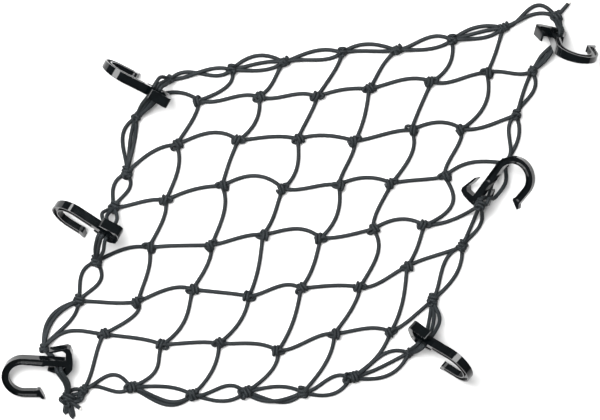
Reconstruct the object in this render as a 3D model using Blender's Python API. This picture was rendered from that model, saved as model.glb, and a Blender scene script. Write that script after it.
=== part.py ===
"""Elastic cargo net with six hooks, lying slack on a level surface.

The net is a mesh of elastic cord, seven gaps by seven, knotted at 36 crossings. An edge
cord, doubled or tripled from knot to knot, runs round it and through the loops of six
moulded hooks. Cords lie on the surface and rise a little into each knot.

X runs to the right, Y to the far side and Z up, in metres. The origin is below the
middle of the whole thing, on the surface.

Plan places were read from a picture taken from straight above. They are kept in its
pixels, right and down from its corner, and PIXEL turns them into real sizes.
"""

import math

import bmesh
import bpy
from mathutils import Matrix, Vector

# Picture scale and origin
PIXEL = 0.00095
ORIGIN_X_PX = 298.34
ORIGIN_Y_PX = 207.98

# Elastic cord
CORD_RADIUS = 0.0021
CORD_LOW = 0.0022
CORD_STEP = 0.0190
CORD_SIDES_RESOLUTION = 1
NET_KNOT_LEVEL = 0.0042
NET_EDGE_LEVEL = 0.0067
KNOT_INSET = 0.0020
PIECE_GAP = 0.00035

# Knots: length along the wraps' axis, width, height
NET_KNOT_LENGTH = 0.0108
NET_KNOT_ACROSS = 0.0098
NET_KNOT_HEIGHT = 0.0084
EDGE_KNOT_HEIGHT = 0.0092
KNOT_SIDES = 7
KNOT_SWELLS = (1.0, 1.28, 0.94, 1.28, 1.0)
KNOT_FLAT_BELOW = 0.0012

# Moulded hook, in its own plane: s runs from the bend to the tail, p from the free arm
# to the shank, and the middle of the bend is at 0, 0
HOOK_OUTER = 0.0207
HOOK_INNER = 0.0140
HOOK_WIDTH = 0.0072
# The moulding widens from the arm to the outer loop, by this share for each metre of p
HOOK_WIDENING = 11.0
HOOK_BEND_STEPS = 9
POINT_S = 0.0192
ARM_END_S = 0.0150
ARM_LEAN = 0.0009
LIP_INNER_S = 0.0160
LIP_OUTER_S = 0.0210
LIP_OUTER_P = -0.0216
LIP_THICKNESS = 0.0024
TAIL_END_S = 0.0465
EYE_END_S = 0.0398
EYE_WALL = 0.0026
# Open loops at the tail, by side of the shank: reach of the hole from the shank's middle
# at its end and at its mouth, and how far along the hook its corner and its tip lie
LOOPS = {
    1: (0.0145, 0.0112, 0.0405, 0.0240),
    -1: (0.0104, 0.0072, 0.0385, 0.0232),
}
RIM = 0.0016
CHANNEL_DEPTH = 0.0022
CHANNEL_END_S = 0.0185

# Net knots, left to right in six rows from the far side, in picture pixels
NET_KNOTS_PX = (
    ((199, 100.5), (259, 97), (317, 97), (369, 89), (431.5, 82), (486.5, 73)),
    ((176.5, 145), (238.5, 140.5), (298, 139), (355, 141), (411, 130), (461.6, 129)),
    ((166, 200.3), (222, 186), (283, 188.7), (338.6, 184.7), (391.5, 183.3), (444.2, 176.8)),
    ((149, 247.4), (211.6, 245), (262.6, 234.7), (320.5, 238), (372.8, 229), (424, 225.4)),
    ((138, 301.5), (192.5, 289), (249, 296), (300.8, 288.2), (360, 287), (406.7, 266.3)),
    ((103.8, 333.7), (162.5, 344.4), (219, 343.1), (278, 350.4), (334, 333.5), (390.7, 331.6)),
)

# Edge knots: name: x, y in picture pixels, length and width in mm, heading in degrees
EDGE_KNOTS = {
    "far_1": (170.5, 79.4, 10.5, 9.5, 60),
    "far_2": (231.5, 70, 11.5, 10.5, 70),
    "far_3": (284, 62.5, 13, 10, 30),
    "far_4": (342, 53, 11, 10.5, 80),
    "far_5": (396.5, 50.5, 13.5, 10, 30),
    "far_6": (451.8, 40.3, 11.5, 10.5, 80),
    "far_7": (503, 28, 13.5, 10, 25),
    "far_8": (556, 17.4, 13, 12, 30),
    "right_1": (531.9, 71.6, 12, 10.5, 60),
    "right_2": (515.8, 115.2, 11.5, 10, 70),
    "right_3": (504.5, 163, 10.5, 9, 70),
    "right_4": (478.2, 205.4, 13, 11.5, 60),
    "right_5": (461.6, 246.3, 13, 11, 60),
    "right_6": (432, 300.4, 14, 11.5, 70),
    "near_7": (408.7, 352.7, 11, 9.5, 45),
    "near_6": (350.5, 377.5, 18, 12.5, 15),
    "near_5": (302.7, 392.2, 13, 11.5, 80),
    "near_4": (245, 392.2, 15, 12.5, 20),
    "near_3": (192.4, 394.7, 14, 12.5, 15),
    "near_2": (130.6, 387, 14, 12, 10),
    "near_1": (83.7, 390, 12, 10.5, 40),
    "corner": (66.8, 398.6, 13.5, 13, 60),
    "left_6": (44.8, 347.8, 11, 10, 80),
    "left_5": (79, 300.9, 13, 12, 70),
    "left_4": (96.7, 261.5, 13, 12.5, 80),
    "left_3": (114.4, 207.7, 12.5, 12, 60),
    "left_2": (127.1, 173, 14, 12, 80),
    "left_1": (136.5, 117.5, 11.5, 9.5, 40),
    "left_0": (159, 95.5, 9, 8.5, 20),
}

# Heights of the knots that are held off the surface by a hook
RAISED_KNOTS = {"left_6": 0.0100, "right_4": 0.0245}

# How far each net cord bows off the straight line, at one and two thirds of its way, in
# picture pixels: to the far side for the cords along a row, to the right for a column
ROW_BOWS_PX = (
    ((4.8, 5), (-1.4, 2.2), (-0.5, 3), (3, 3), (3.6, 5.8), (-3, -0.3), (0.7, -1.9)),
    ((5.8, 6.2), (7.5, 9.5), (2, 3), (4.2, 3.8), (0.3, 1.5), (5.9, 6.8), (-3.6, -2.2)),
    ((0.8, 2.4), (3.3, 3.4), (9.6, 11), (-1.6, 0.5), (5.6, 5.8), (0.5, -0.2), (7.9, 6.2)),
    ((4, 4.8), (0.8, 0.5), (0.8, 2.1), (5.3, 7.9), (-2, -1.5), (6.8, 7.4), (-4.2, -4.2)),
    ((-0.7, -1.6), (4, 5.6), (0, 0.4), (2.4, 5.8), (1.5, 2.1), (-4.3, -2.3), (0.9, 0)),
    ((10.9, 7.4), (0.9, 1.8), (0.8, 1.5), (2.3, 4.1), (-1.3, 1.8), (2.4, 4.4), (-2.4, -1.5)),
)
COLUMN_BOWS_PX = (
    ((11, 11.9), (3.5, 2.2), (6, 4.5), (4, 2.8), (4, 2.4), (10.4, 8.5), (-0.4, 1.3)),
    ((1.3, 3.5), (6.8, 7.7), (-1.2, -1), (6.5, 4.7), (4.1, 3.4), (6.5, 9.1), (7.1, 12.8)),
    ((2.7, 1.7), (1.1, 0.2), (5.4, 7.4), (1.4, 2.9), (2.4, 2.9), (6, 6.6), (6.3, 6.7)),
    ((-3.1, -1.5), (2.2, 2.6), (1.9, 0.2), (6.9, 8), (2.7, 3.6), (3.6, 4.2), (8.3, 8.2)),
    ((7.2, 8.7), (-0.5, -0.5), (8.8, 7), (-1.8, -3), (9.9, 7.2), (3.7, 3.1), (6.7, 6.1)),
    ((1, 1.6), (10, 11.6), (2.2, -1), (15.1, 18.3), (1.7, 2.5), (3.4, 4.2), (6.4, 7.7)),
)
ROW_STARTS = ("left_0", "left_2", "left_3", "left_4", "left_5", "left_6")
ROW_ENDS = ("right_1", "right_2", "right_3", "right_4", "right_5", "right_6")
COLUMN_STARTS = ("far_2", "far_3", "far_4", "far_5", "far_6", "far_7")
COLUMN_ENDS = ("near_1", "near_2", "near_3", "near_4", "near_5", "near_6")

# Strands of the edge cord from knot to knot, clockwise: how far each bows outwards at
# one and two thirds of its way, in picture pixels
EDGE_SPANS = (
    ("far_1", "far_2", ((4.2, -2.4), (0.8, 4.1))),
    ("far_2", "far_3", ((9.2, 9.5), (-3.2, -4.5))),
    ("far_3", "far_4", ((4.7, 6.3), (-0.7, -3.5))),
    ("far_4", "far_5", ((7.2, 6.3), (1.1, 0))),
    ("far_5", "far_6", ((3.4, 7.2), (-3, -4.5))),
    ("far_6", "far_7", ((6, 6.2), (-3.1, -4.9))),
    ("far_7", "far_8", ((6, 13.5), (3.2, 8))),
    ("right_1", "right_2", ((8.1, 3.9), (-1.2, -1.4))),
    ("right_2", "right_3", ((7.1, 6), (-3.7, 1))),
    ("right_4", "right_5", ((8.9, 5.6), (1.1, 0.8))),
    ("right_5", "right_6", ((8, 6.5), (-7.4, -3.1))),
    ("near_7", "near_6", ((11.8, 10.1), (-8.8, -3.7))),
    ("near_6", "near_5", ((9.7, 8.3), (-6, -1.4))),
    ("near_5", "near_4", ((9.8, 6.4), (-5.7, -4.4))),
    ("near_4", "near_3", ((7.4, 5.6), (-7.5, -2.2))),
    ("near_3", "near_2", ((11.4, 8.3), (-4.8, -3.5))),
    ("near_2", "near_1", ((3.3, -2.3), (-13.5, -8.5))),
    ("near_1", "corner", ((-2, -3),)),
    ("left_6", "left_5", ((12.1, 11.6), (-1.5, -4.7))),
    ("left_5", "left_4", ((5.5, 8.4), (-6.5, -11.1))),
    ("left_3", "left_2", ((6.3, 7.7), (-3.6, -7.5))),
    ("left_2", "left_1", ((6, 10.5), (-1.3, -2))),
    ("left_1", "left_0", ((-1, -2),)),
)

# Cut ends: knot, where the end lies in picture pixels, and its height above the surface
CORD_TAILS = (
    ("far_8", 569.4, 1.3, 0.0030),
    ("corner", 65.0, 411.4, 0.0024),
    ("corner", 72.2, 415.4, 0.0024),
    ("corner", 81.0, 408.8, 0.0060),
)

# Hooks: middle of the bend in picture pixels, direction of the shank towards the tail,
# direction from the free arm to the shank, and height of the lowest point
HOOKS = {
    "hook_1": (125.0, 74.4, (0.846, -0.419, -0.330), (0.191, -0.339, 0.921), 0.0),
    "hook_2": (74.7, 217.1, (0.832, -0.546, -0.104), (0.306, 0.294, 0.906), 0.0),
    "hook_3": (24.8, 375.4, (0.998, -0.060, 0.000), (0.060, 0.910, 0.407), 0.0),
    "hook_4": (571.8, 54.1, (-0.065, 0.413, -0.908), (-0.973, 0.177, 0.150), 0.0),
    "hook_5": (511.2, 178.5, (-0.522, -0.751, -0.405), (-0.690, 0.650, -0.316), 0.0),
    "hook_6": (451.9, 362.5, (-0.733, 0.428, -0.529), (-0.230, 0.575, 0.785), 0.0),
}

# Edge cord through a hook's loops: hook, knot before, knot after, and for each strand
# the side of the shank it passes (-1 for the inner loop, 1 for the outer one) and how
# far along the hook
HOOK_STRANDS = (
    ("hook_4", "far_8", "right_1", ((-1, 0.0365), (-1, 0.0320))),
    ("hook_5", "right_3", "right_4", ((-1, 0.0340),)),
    ("hook_6", "right_6", "near_7", ((-1, 0.0362), (-1, 0.0314))),
    ("hook_3", "corner", "left_6", ((-1, 0.0350), (-1, 0.0305))),
    ("hook_2", "left_4", "left_3", ((-1, 0.0365), (-1, 0.0320))),
    ("hook_1", "left_1", "far_1", ((-1, 0.0355), (-1, 0.0310))),
)
LOOP_LEAD = 0.0068
LOOP_STEP = 0.0105

NET_COLOUR = (0.018, 0.022, 0.026, 1.0)
EDGE_COLOUR = (0.016, 0.020, 0.024, 1.0)
HOOK_COLOUR = (0.006, 0.007, 0.009, 1.0)


def clear_scene():
    for obj in list(bpy.data.objects):
        bpy.data.objects.remove(obj, do_unlink=True)


def material(name, colour, roughness):
    made = bpy.data.materials.new(name)
    made.use_nodes = True
    shader = made.node_tree.nodes["Principled BSDF"]
    shader.inputs["Base Color"].default_value = colour
    shader.inputs["Roughness"].default_value = roughness
    shader.inputs["Metallic"].default_value = 0.0
    return made


def place(x_px, y_px, z=0.0):
    """A spot of the picture on the surface, as a point of the part."""
    return Vector(((x_px - ORIGIN_X_PX) * PIXEL, (ORIGIN_Y_PX - y_px) * PIXEL, z))


def bow(t, first, second):
    """A smooth bow that is 0 at both ends, first at one third and second at two thirds."""
    return 4.5 * t * (1 - t) * (first * (2 - 3 * t) + second * (3 * t - 1))


def level(t, length, start_z, end_z, low=CORD_LOW):
    """Height along a slack cord that rests on the surface between its two ends."""
    reach = min(0.36, 0.018 / length)
    rise_start = max(0.0, 1 - t / reach) ** 2
    rise_end = max(0.0, 1 - (1 - t) / reach) ** 2
    return low + (start_z - low) * rise_start + (end_z - low) * rise_end


def bowed_path(start, end, side, bows, heights, low=CORD_LOW):
    """Points along a cord between two knots, from inside one to inside the other."""
    flat = Vector((end.x - start.x, end.y - start.y, 0))
    spans = max(3, round(flat.length / CORD_STEP))
    inset = min(0.3, KNOT_INSET / flat.length)
    points = []
    for i in range(spans + 1):
        t = inset + (1 - 2 * inset) * i / spans
        point = start + flat * t + side * bow(t, *bows) * PIXEL
        point.z = level(t, flat.length, *heights, low)
        points.append(point)
    return points


def smooth_path(corners, step):
    """Points on a Catmull-Rom curve through the given corners."""
    ends = [2 * corners[0] - corners[1], *corners, 2 * corners[-1] - corners[-2]]
    points = [corners[0].copy()]
    for before, a, b, after in zip(ends, ends[1:], ends[2:], ends[3:]):
        spans = max(1, round((b - a).length / step))
        for i in range(1, spans + 1):
            t = i / spans
            point = 0.5 * (
                2 * a
                + (b - before) * t
                + (2 * before - 5 * a + 4 * b - after) * t**2
                + (3 * a - before - 3 * b + after) * t**3
            )
            point.z = max(point.z, CORD_LOW)
            points.append(point)
    return points


def mesh_object(name, mesh, matrix=None):
    obj = bpy.data.objects.new(name, mesh)
    bpy.context.scene.collection.objects.link(obj)
    if matrix is not None:
        obj.matrix_world = matrix
    return obj


def frozen(obj, name, weld=False):
    """A plain mesh object of what the given object evaluates to; the given one goes."""
    bpy.context.view_layer.update()
    graph = bpy.context.evaluated_depsgraph_get()
    mesh = bpy.data.meshes.new_from_object(obj.evaluated_get(graph))
    matrix = obj.matrix_world.copy()
    bpy.data.objects.remove(obj, do_unlink=True)
    made = mesh_object(name, mesh, matrix)
    if weld:
        work = bmesh.new()
        work.from_mesh(mesh)
        bmesh.ops.remove_doubles(work, verts=work.verts, dist=1e-7)
        work.to_mesh(mesh)
        work.free()
    return made


def tubes(name, paths, radius):
    """One mesh of round cords along the given paths."""
    curve = bpy.data.curves.new(name, "CURVE")
    curve.dimensions = "3D"
    curve.bevel_depth = radius
    curve.bevel_resolution = CORD_SIDES_RESOLUTION
    curve.use_fill_caps = True
    for path in paths:
        spline = curve.splines.new("POLY")
        spline.points.add(len(path) - 1)
        for point, spot in zip(spline.points, path):
            point.co = (*spot, 1.0)
    return frozen(mesh_object(name, curve), name, weld=True)


def add_knot(work, centre, heading, size, grow=0.0):
    """A ridged lump with a flat foot: the wraps of cord show as ridges round its axis."""
    length, across, height = (side + 2 * grow for side in size)
    rings = len(KNOT_SWELLS) - 1
    ball = bmesh.ops.create_uvsphere(
        work, u_segments=KNOT_SIDES, v_segments=rings, radius=0.5
    )
    turn = Matrix.Rotation(math.radians(heading), 3, "Z")
    foot = centre.z - size[2] / 2
    for vert in ball["verts"]:
        ring = round(math.acos(max(-1.0, min(1.0, 2 * vert.co.z))) * rings / math.pi)
        swell = KNOT_SWELLS[ring]
        local = Vector(
            (vert.co.z * length, -vert.co.y * across * swell, vert.co.x * height * swell)
        )
        vert.co = centre + turn @ local
        if vert.co.z < foot + KNOT_FLAT_BELOW:
            vert.co.z = foot - grow


def knots(name, rows, grow=0.0):
    mesh = bpy.data.meshes.new(name)
    work = bmesh.new()
    for centre, heading, size in rows:
        add_knot(work, centre, heading, size, grow)
    work.to_mesh(mesh)
    work.free()
    return mesh_object(name, mesh)


def combined(name, base, others, operation, solver="EXACT", crossing=False):
    """The base joined with, or cut by, each of the others, which then go."""
    for other in others:
        modifier = base.modifiers.new(other.name, "BOOLEAN")
        modifier.operation = operation
        modifier.solver = solver
        modifier.use_self = crossing
        modifier.object = other
    made = frozen(base, name)
    for other in others:
        bpy.data.objects.remove(other, do_unlink=True)
    return made


def keep_largest(obj):
    """Drops the scraps that a cut leaves beside the main body."""
    work = bmesh.new()
    work.from_mesh(obj.data)
    left = set(work.verts)
    bodies = []
    while left:
        body = set()
        front = [left.pop()]
        while front:
            vert = front.pop()
            body.add(vert)
            for edge in vert.link_edges:
                other = edge.other_vert(vert)
                if other in left:
                    left.remove(other)
                    front.append(other)
        bodies.append(body)
    bodies.sort(key=len)
    for body in bodies[:-1]:
        bmesh.ops.delete(work, geom=list(body), context="VERTS")
    work.to_mesh(obj.data)
    work.free()


def net_knot_spot(row, column):
    return place(*NET_KNOTS_PX[row][column], NET_KNOT_HEIGHT / 2)


def edge_knot_rows():
    """Each edge knot's centre, heading and size."""
    rows = {}
    for name, (x_px, y_px, length, across, heading) in EDGE_KNOTS.items():
        z = RAISED_KNOTS.get(name, EDGE_KNOT_HEIGHT / 2)
        size = (length / 1000, across / 1000, EDGE_KNOT_HEIGHT)
        rows[name] = (place(x_px, y_px, z), heading, size)
    return rows


def net_paths():
    """The cords along the rows and along the columns, each as a list of paths."""
    edge = edge_knot_rows()
    last = len(NET_KNOTS_PX) - 1
    far_side = Vector((0, 1, 0))
    right = Vector((1, 0, 0))

    def heights(first, second):
        found = []
        for name in (first, second):
            raised = RAISED_KNOTS.get(name)
            at_edge = NET_EDGE_LEVEL if raised is None else raised
            found.append(NET_KNOT_LEVEL if name is None else at_edge)
        return found

    rows = []
    for i, bows in enumerate(ROW_BOWS_PX):
        spots = [edge[ROW_STARTS[i]][0]]
        spots += [net_knot_spot(i, j) for j in range(last + 1)]
        spots += [edge[ROW_ENDS[i]][0]]
        names = [ROW_STARTS[i], *[None] * (last + 1), ROW_ENDS[i]]
        for j, pair in enumerate(bows):
            ends = heights(names[j], names[j + 1])
            rows.append(bowed_path(spots[j], spots[j + 1], far_side, pair, ends))
    columns = []
    for j, bows in enumerate(COLUMN_BOWS_PX):
        spots = [edge[COLUMN_STARTS[j]][0]]
        spots += [net_knot_spot(i, j) for i in range(last + 1)]
        spots += [edge[COLUMN_ENDS[j]][0]]
        names = [COLUMN_STARTS[j], *[None] * (last + 1), COLUMN_ENDS[j]]
        for i, pair in enumerate(bows):
            ends = heights(names[i], names[i + 1])
            columns.append(bowed_path(spots[i], spots[i + 1], right, pair, ends))
    return rows, columns


def edge_paths(frames):
    """The strands of the edge cord, the ones through the hooks and the cut ends."""
    edge = edge_knot_rows()
    strands = []
    for first, second, bows in EDGE_SPANS:
        start = edge[first][0]
        end = edge[second][0]
        along = Vector((end.x - start.x, end.y - start.y, 0)).normalized()
        outward = Vector((-along.y, along.x, 0))
        ends = [RAISED_KNOTS.get(name, CORD_LOW) for name in (first, second)]
        for pair in bows:
            strands.append(bowed_path(start, end, outward, pair, ends))
    for hook, first, second, passes in HOOK_STRANDS:
        frame = frames[hook]
        for side, along in passes:
            strands.append(hook_strand(frame, edge[first][0], edge[second][0], side, along))
    for knot, x_px, y_px, z in CORD_TAILS:
        start = edge[knot][0]
        end = place(x_px, y_px, z)
        inset = (end - start).normalized() * KNOT_INSET
        strands.append([start + inset, (start + end) / 2, end])
    return strands


def hook_strand(frame, start, end, side, along):
    """A strand from one knot through a hook's loop to the next knot."""
    middle = (HOOK_OUTER + HOOK_INNER) / 2
    half = (HOOK_OUTER - HOOK_INNER) / 2
    p = middle + side * (half + LOOPS[side][0] - 0.0016) / 2
    through = [frame @ Vector((along, p, w)) for w in (-LOOP_LEAD, 0.0, LOOP_LEAD)]
    if (through[0] - start).length > (through[2] - start).length:
        through.reverse()
    starts = Vector((start.x, start.y, max(CORD_LOW, start.z - 0.001)))
    ends = Vector((end.x, end.y, max(CORD_LOW, end.z - 0.001)))
    return smooth_path([starts, *through, ends], LOOP_STEP)


def hook_frame(row):
    """Turns a hook's own s, p and width into its place on the net."""
    x_px, y_px, shank, across, low = row
    along = Vector(shank).normalized()
    width = along.cross(Vector(across)).normalized()
    turn = Matrix((along, width.cross(along), width)).transposed().to_4x4()
    lowest = min(
        (turn @ Vector((s, p, side * widened(p) * HOOK_WIDTH / 2))).z
        for s, p in hook_outline()
        for side in (-1, 1)
    )
    return Matrix.Translation(place(x_px, y_px, low - lowest)) @ turn


def widened(p):
    """How much wider the moulding is at p than at the middle of the bend."""
    return 1 + HOOK_WIDENING * p


def arc(centre, radius, first, last, steps):
    """Points on an arc, with its angles in degrees."""
    points = []
    for i in range(steps + 1):
        angle = math.radians(first + (last - first) * i / steps)
        points.append(
            (centre[0] + radius * math.cos(angle), centre[1] + radius * math.sin(angle))
        )
    return points


def loop_arm(side):
    """One open loop of the tail, from the end of the shank round to its free tip."""
    middle = (HOOK_OUTER + HOOK_INNER) / 2
    half = (HOOK_OUTER - HOOK_INNER) / 2
    reach, tip_reach, corner_s, tip_s = LOOPS[side]
    outside = [
        (TAIL_END_S, half + 0.0010),
        (TAIL_END_S - 0.0008, reach - 0.0034),
        (corner_s + 0.0032, reach + 0.0014),
        (corner_s, reach + EYE_WALL),
        (tip_s, tip_reach + EYE_WALL / 2),
    ]
    inside = [
        (tip_s - 0.0006, tip_reach - 0.0004),
        (tip_s + 0.0050, tip_reach + 0.0004),
        (corner_s - 0.0040, reach - 0.0006),
        (EYE_END_S, reach - 0.0030),
        (EYE_END_S, half + 0.0008),
        (EYE_END_S - 0.0012, half),
    ]
    return [(s, middle + side * extent) for s, extent in outside + inside]


def hook_outline():
    """The hook's outline in its own plane, anticlockwise from the free arm's lip."""
    lip = [
        (ARM_END_S, -HOOK_OUTER + ARM_LEAN),
        (LIP_OUTER_S - LIP_THICKNESS, LIP_OUTER_P - 0.0004),
        (LIP_OUTER_S, LIP_OUTER_P),
        (LIP_INNER_S, -HOOK_INNER + ARM_LEAN + 0.0008),
        (LIP_INNER_S - LIP_THICKNESS, -HOOK_INNER + ARM_LEAN + 0.0010),
        (ARM_END_S - 0.0025, -HOOK_INNER + ARM_LEAN),
    ]
    inner = arc((0, 0), HOOK_INNER, 270, 90, HOOK_BEND_STEPS)
    point = [(POINT_S, HOOK_INNER - 0.0006), (POINT_S + 0.0016, HOOK_INNER + 0.0004)]
    outer = arc((0, 0), HOOK_OUTER, 90, 270, HOOK_BEND_STEPS + 1)
    inner_loop = list(reversed(loop_arm(-1)))
    return lip + inner + point + inner_loop + loop_arm(1) + outer


def channel_outline():
    """The recess between the rims, from the lip round the bend to the shank."""
    inner = arc((0, 0), HOOK_INNER + RIM, 270, 90, HOOK_BEND_STEPS)
    outer = arc((0, 0), HOOK_OUTER - RIM, 90, 270, HOOK_BEND_STEPS)
    arm = [
        (ARM_END_S - RIM, -HOOK_OUTER + RIM + ARM_LEAN),
        (ARM_END_S - RIM, -HOOK_INNER - RIM + ARM_LEAN),
    ]
    shank = [(CHANNEL_END_S, HOOK_INNER + RIM), (CHANNEL_END_S, HOOK_OUTER - RIM)]
    return arm + inner + shank + outer


def slab(name, outline, half_thickness, z=0.0):
    """A flat plate with the given outline."""
    curve = bpy.data.curves.new(name, "CURVE")
    curve.dimensions = "2D"
    curve.fill_mode = "BOTH"
    curve.extrude = half_thickness
    spline = curve.splines.new("POLY")
    spline.points.add(len(outline) - 1)
    for point, (s, p) in zip(spline.points, outline):
        point.co = (s, p, 0.0, 1.0)
    spline.use_cyclic_u = True
    placed = mesh_object(name, curve, Matrix.Translation((0, 0, z)))
    return frozen(placed, name, weld=True)


def hook_mesh():
    body = slab("hook", hook_outline(), HOOK_WIDTH / 2)
    cutters = []
    for side in (-1, 1):
        z = side * HOOK_WIDTH / 2
        cutters.append(slab(f"channel_{side}", channel_outline(), CHANNEL_DEPTH, z))
    shaped = combined("hook_shape", body, cutters, "DIFFERENCE")
    mesh = shaped.data
    for vert in mesh.vertices:
        vert.co.z *= widened(vert.co.y)
    bpy.data.objects.remove(shaped, do_unlink=True)
    return mesh


def finish(obj, collection, made_of, smooth_below):
    """Puts a piece in the part's collection with its material and shading."""
    for holder in list(obj.users_collection):
        holder.objects.unlink(obj)
    collection.objects.link(obj)
    obj.data.materials.clear()
    obj.data.materials.append(made_of)
    obj.data.shade_smooth()
    obj.data.set_sharp_from_angle(angle=math.radians(smooth_below))


def edge_solid(name, frames, grow=0.0):
    base = knots(name, list(edge_knot_rows().values()), grow)
    strands = tubes(name + "_strands", edge_paths(frames), CORD_RADIUS + grow)
    return combined(name, base, [strands], "UNION", crossing=True)


def net_solid(name, frames):
    lumps = []
    for row in range(len(NET_KNOTS_PX)):
        for column in range(len(NET_KNOTS_PX[row])):
            heading = 35 + 50 * math.sin(1.7 * row + 2.3 * column + 0.5)
            size = (NET_KNOT_LENGTH, NET_KNOT_ACROSS, NET_KNOT_HEIGHT)
            lumps.append((net_knot_spot(row, column), heading, size))
    rows, columns = net_paths()
    base = knots(name, lumps)
    along = tubes("row_cords", rows, CORD_RADIUS)
    across = tubes("column_cords", columns, CORD_RADIUS)
    whole = combined(name, base, [along, across], "UNION", "MANIFOLD")
    clearance = edge_solid("clearance", frames, PIECE_GAP)
    cut = combined(name, whole, [clearance], "DIFFERENCE", "MANIFOLD")
    keep_largest(cut)
    return cut


def main():
    clear_scene()
    collection = bpy.data.collections.new("cargo_net")
    bpy.context.scene.collection.children.link(collection)
    cord = material("net_cord", NET_COLOUR, 0.62)
    edge_cord = material("edge_cord", EDGE_COLOUR, 0.62)
    plastic = material("hook_plastic", HOOK_COLOUR, 0.22)

    frames = {name: hook_frame(row) for name, row in HOOKS.items()}
    shape = hook_mesh()
    for name, frame in frames.items():
        finish(mesh_object(name, shape, frame), collection, plastic, 40)
    finish(edge_solid("edge_cord", frames), collection, edge_cord, 70)
    finish(net_solid("net_mesh", frames), collection, cord, 70)


main()
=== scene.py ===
"""Looks of the elastic cargo net: braided cord, wound knots, moulded hooks, floor and light.

Places read from the picture are in its pixels, right and down from its corner, and PIXEL
turns them into real sizes. Everything else is in metres, but for angles in degrees,
phases in radians and what a comment gives in mm.
"""

import math
import random

import bmesh
import bpy
from mathutils import Matrix, Vector


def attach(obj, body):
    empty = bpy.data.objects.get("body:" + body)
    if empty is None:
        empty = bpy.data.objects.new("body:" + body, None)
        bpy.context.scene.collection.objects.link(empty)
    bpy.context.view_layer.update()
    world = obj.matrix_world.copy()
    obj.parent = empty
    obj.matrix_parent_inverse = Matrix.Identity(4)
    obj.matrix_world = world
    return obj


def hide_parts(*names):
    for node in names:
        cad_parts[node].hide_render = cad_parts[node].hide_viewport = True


# Picture scale and origin
PIXEL = 0.00095
ORIGIN_X_PX = 298.34
ORIGIN_Y_PX = 207.98
PICTURE_CENTRE_PX = (300.0, 210.0)
PICTURE_WIDTH_PX = 600.0

# Elastic cord, and the steps it is drawn in
CORD_RADIUS = 0.0019
CORD_POINTS = 18
CORD_SIDES = 12
BRAID_PITCH = 0.0015
BRAID_CARRIERS = 3
# Edges between faces that meet at a larger angle than this stay sharp
CORD_SHARP_ANGLE = 55
# How far from a knot's middle a cord starts, at most this share of its length
CORD_INSET = 0.0016
CORD_INSET_SHARE = 0.3
# Height of a cord's middle: on the surface, where a net cord leaves a net knot and an
# edge knot, and where a strand of the edge cord leaves its knot
CORD_LOW = 0.0020
NET_KNOT_LEVEL = 0.0041
NET_EDGE_LEVEL = 0.0062
EDGE_STRAND_LEVEL = 0.0032
# A slack cord comes down from a knot over this length, at most this share of its own
DROP_LENGTH = 0.017
DROP_SHARE = 0.42
# Soft strands that cross lie this share of their thickness apart
CROSSING_SHARE = 0.96
# A strand that is lifted over another rises at this rate from its ends
LIFT_RATE = 5

# Knots, whose cord is stretched thinner, and the points of one turn and of three lobes
KNOT_CORD_RADIUS = 0.00152
TURN_POINTS = 20
TREFOIL_POINTS = 54
# The turns of a band start at this share of its size, and widen at this rate
TUCK_START = 0.35
TUCK_RATE = 6
# Net knot: band of turns round the row cord, and a tilted lobe beside it
NET_KNOT_HEIGHT = 0.0086
NET_KNOT_HEADING = 8
NET_KNOT_SWAY = 24
NET_KNOT_SWING = (0.6, 1.2)
NET_BAND_TURNS = 2.15
NET_BAND_PITCH = 0.0031
NET_BAND_ACROSS = 0.0112
NET_BAND_SHIFT = 0.0021
NET_BAND_PHASE = -1.9
NET_BAND_LEAN = 0.0007
NET_LOBE_LONG = 0.0092
NET_LOBE_WIDE = 0.0070
NET_LOBE_SHIFT = 0.0026
NET_LOBE_SWING = 0.0014
NET_LOBE_PHASE = 0.4
NET_LOBE_OVERLAP = 5
# Rise of the lobe, as a share of the band's, and how far the swing turns it
NET_LOBE_RISE = 0.55
NET_LOBE_TILT = 0.9
# Edge knot: band of turns round one end, and a tight knot of three lobes
EDGE_KNOT_HEIGHT = 0.0096
EDGE_BAND_PITCH = 0.0032
EDGE_BAND_PHASE = -1.7
EDGE_BAND_LEAN = 0.0009
EDGE_BAND_WIDTH_SHARE = 0.94
LONG_KNOT = 0.0125
LONG_KNOT_TURNS = 2.4
SHORT_KNOT_TURNS = 1.7
# The three lobes leave this share of the band free, and keep at least this length
BAND_LEFT_FREE = 0.55
LOBES_LENGTH = 0.0095
LOBES_WIDTH_SHARE = 1.04
LOBES_HEIGHT_SHARE = 0.86

# Moulded hook, in its own plane: s runs from the bend to the tail, p from the free arm
# to the shank, and the middle of the bend is at 0, 0
HOOK_OUTER = 0.0207
HOOK_INNER = 0.0140
HOOK_WIDTH = 0.0072
# The moulding widens from the arm to the outer loop, by this share for each metre of p
HOOK_WIDENING = 11.0
HOOK_BEND_STEPS = 40
# Steps of the bend that are enough to find the lowest point
HOOK_PLACING_STEPS = 9
POINT_S = 0.0192
ARM_END_S = 0.0150
ARM_LEAN = 0.0009
LIP_INNER_S = 0.0160
LIP_OUTER_S = 0.0210
LIP_OUTER_P = -0.0216
LIP_THICKNESS = 0.0024
TAIL_END_S = 0.0465
EYE_END_S = 0.0398
EYE_WALL = 0.0026
# Open loops at the tail, by side of the shank, 1 for the outer and -1 for the inner one:
# reach of the hole from the shank's middle at its end and at its mouth, and how far
# along the hook its corner and its tip lie
LOOPS = {
    1: (0.0145, 0.0112, 0.0405, 0.0240),
    -1: (0.0104, 0.0072, 0.0385, 0.0232),
}
RIM = 0.0015
CHANNEL_DEPTH = 0.0021
CHANNEL_END_S = 0.0185
# Rounding of the outline's corners, of the channel's and of all edges
OUTLINE_ROUNDING = 0.0016
CHANNEL_ROUNDING = 0.0012
HOOK_ROUNDING = 0.0004
HOOK_ROUNDING_STEPS = 3
HOOK_SHARP_ANGLE = 40
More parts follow.
